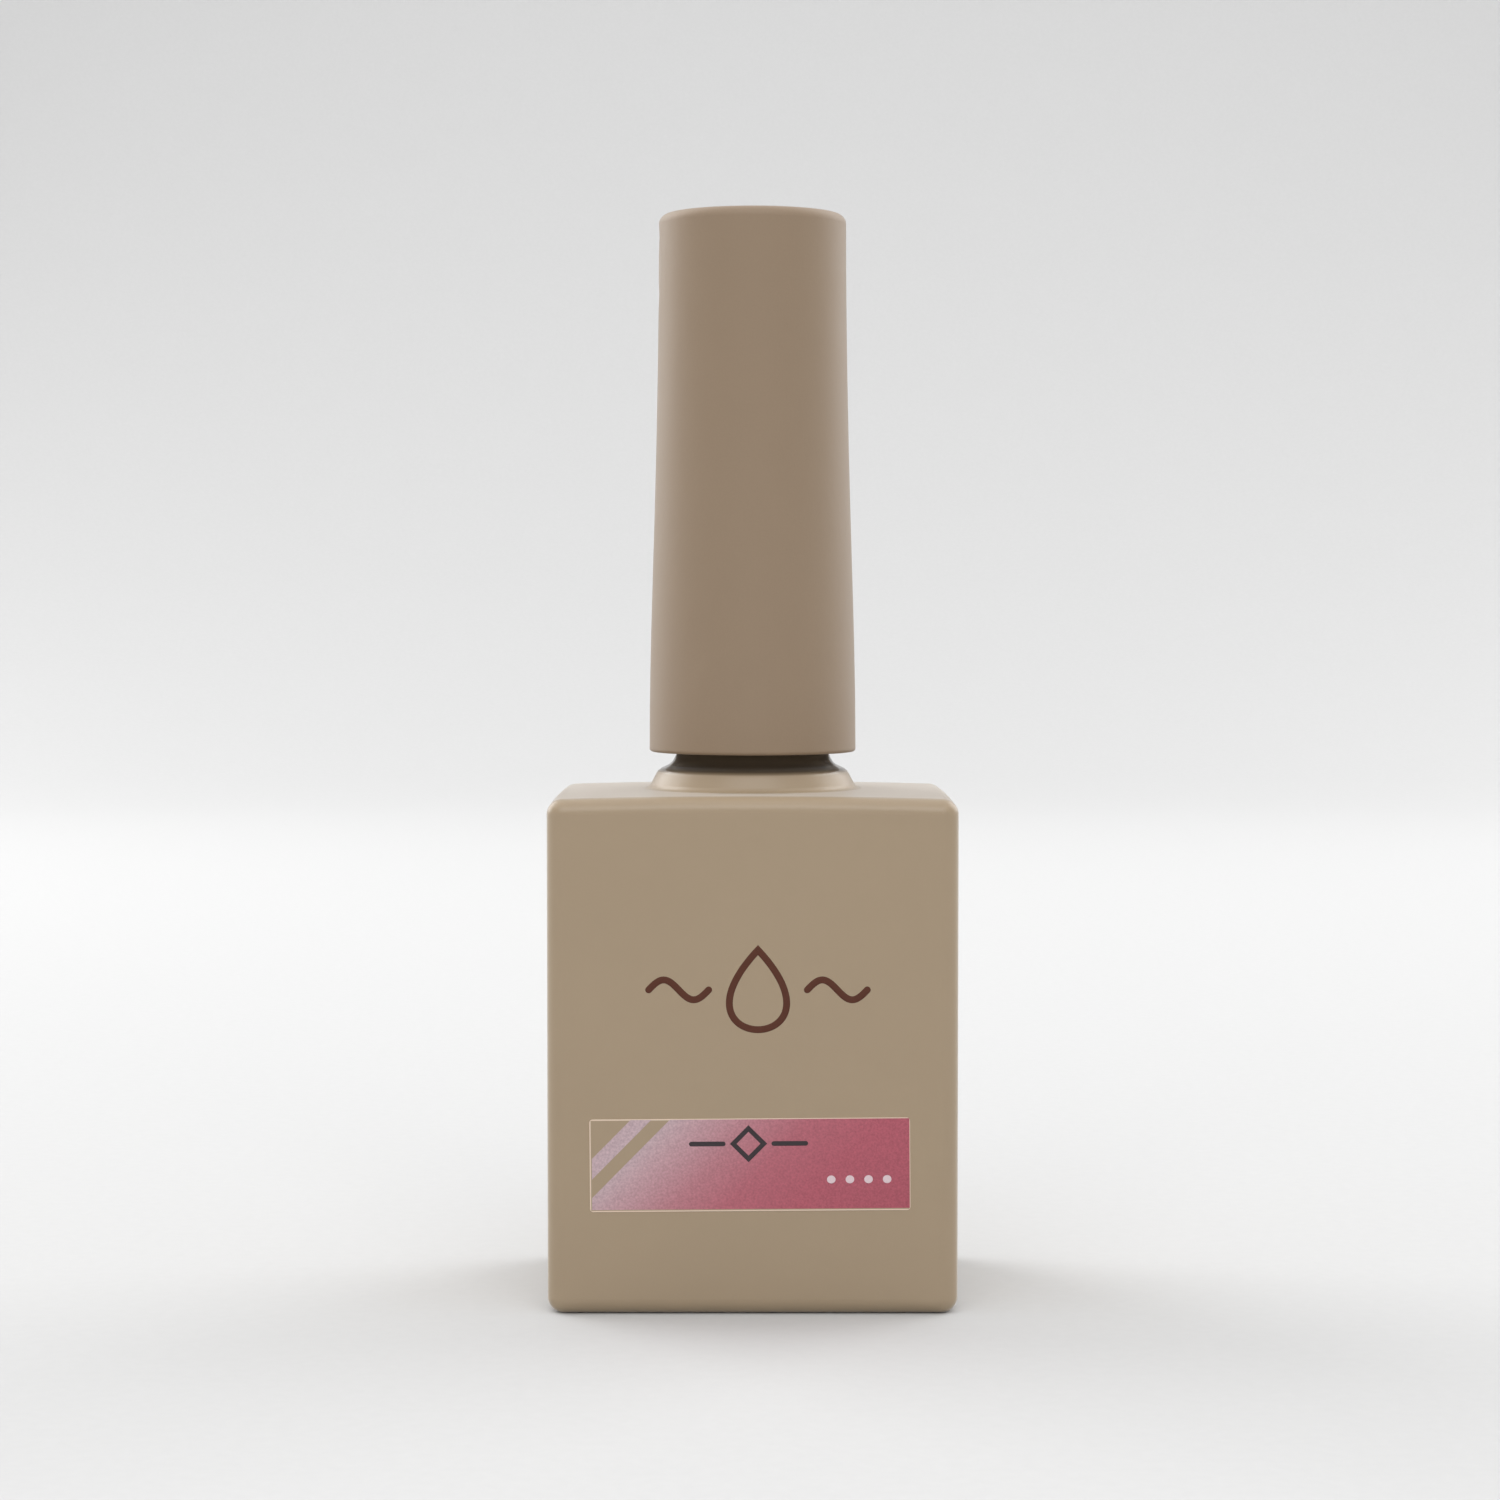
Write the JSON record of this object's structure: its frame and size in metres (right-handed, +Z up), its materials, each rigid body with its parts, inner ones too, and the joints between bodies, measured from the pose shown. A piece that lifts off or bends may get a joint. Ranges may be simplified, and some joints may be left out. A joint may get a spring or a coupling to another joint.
{
  "type": "nail polish bottle",
  "caption": "Rectangular lacquered glass nail polish bottle with a tall tapered screw cap that carries the brush, and a clear colour label on its front.",
  "frame": {"origin": "centre of the bottle's base, on the surface that it stands on", "axes": "+Z up along the neck and the cap, +X along the wide front, -Y out of the labelled front"},
  "size_m": [0.031, 0.0241, 0.0837],
  "materials": {
    "lacquered_glass": "opaque satin taupe lacquer sprayed on clear glass",
    "gel_colour": "wet gloss, dusty pink gel",
    "label_film": "printed clear film",
    "seal_foam": "matte foamed polyethylene",
    "liner_plastic": "natural polypropylene",
    "soft_touch_cap": "satin soft-touch taupe coat",
    "stem_plastic": "smooth black plastic",
    "anchor_steel": "plain drawn wire",
    "bristle": "fine dark nylon filaments"
  },
  "bodies": {
    "bottle": {"glass_bottle": "lacquered_glass", "gel_polish": "gel_colour", "colour_label": "label_film"},
    "seal": {"gasket": "seal_foam"},
    "applicator": {"brush_stem": "stem_plastic", "tuft_anchor": "anchor_steel", "bristle_tuft": "bristle"},
    "cap": {"inner_cap": "liner_plastic", "outer_cap": "soft_touch_cap"}
  },
  "joints": [
    {"name": "cap_lift", "type": "slide", "parent": "bottle", "child": "seal", "axis": [0, 0, 1], "range_m": [0, 0.06]},
    {"name": "cap_rise", "type": "slide", "parent": "seal", "child": "applicator", "axis": [0, 0, 1], "range_m": [0, 0.00318]},
    {"name": "cap_turn", "type": "hinge", "parent": "applicator", "child": "cap", "pos_m": [0, 0, 0.048], "axis": [0, 0, 1], "range_deg": [0, 540]}
  ],
  "couplings": [
    {"joint": "cap_rise", "follows": "cap_turn", "m_per_rad": 0.00033688}
  ]
}
